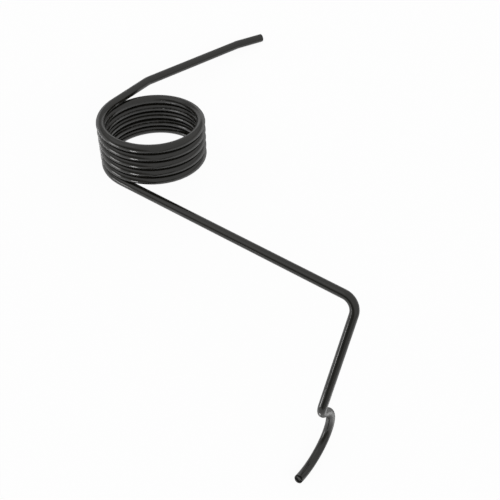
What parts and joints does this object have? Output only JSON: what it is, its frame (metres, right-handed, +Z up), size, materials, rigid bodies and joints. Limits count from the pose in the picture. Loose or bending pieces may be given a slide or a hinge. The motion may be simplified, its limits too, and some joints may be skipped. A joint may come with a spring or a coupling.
{
  "type": "torsion spring",
  "caption": "Left-hand torsion spring of black round wire: a close-wound coil, a slightly bent short leg, and a long leg turning square into an arm that ends in a round hook.",
  "frame": {"origin": "on the surface the spring lies on, under the middle of its bounding box", "axes": "+Z up as it lies at rest, +X along the long leg as seen from above, from the coil to the square corner"},
  "size_m": [0.175, 0.178, 0.0707],
  "materials": {
    "coated_wire": "glossy black coating on round spring steel wire"
  },
  "bodies": {
    "root": {"torsion_spring": "coated_wire"}
  },
  "joints": []
}
